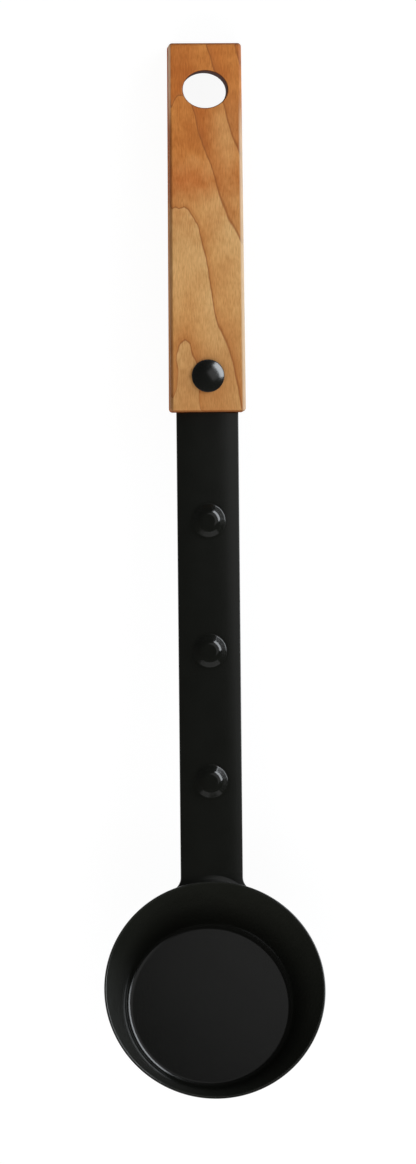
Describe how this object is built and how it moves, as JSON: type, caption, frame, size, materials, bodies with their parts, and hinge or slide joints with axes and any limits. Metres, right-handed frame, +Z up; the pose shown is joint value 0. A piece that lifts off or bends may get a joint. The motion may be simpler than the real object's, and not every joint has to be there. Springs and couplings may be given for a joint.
{
  "type": "sauna ladle",
  "caption": "Sauna ladle: a black coated steel bowl welded to a flat bar with pressed domes, and a riveted wooden grip with an oval hanging hole.",
  "frame": {"origin": "centre of the ladle's footprint on the surface that it lies on, on its base edge and the end of its grip", "axes": "+Z up from that surface, +Y along the ladle from the bowl to the grip, +X to the right seen from above with the grip away from the viewer"},
  "size_m": [0.0886, 0.421, 0.0545],
  "materials": {
    "black_coat": "satin black powder coat on steel",
    "rivet_black": "glossy black lacquer on steel",
    "oiled_wood": "oiled, flat-sawn honey brown wood"
  },
  "bodies": {
    "root": {"bowl": "black_coat", "shaft_strip": "black_coat", "weld_bead_top": "black_coat", "weld_bead_under": "black_coat", "handle_grip": "oiled_wood", "rivet_post": "rivet_black", "rivet_pin": "rivet_black"}
  },
  "joints": []
}
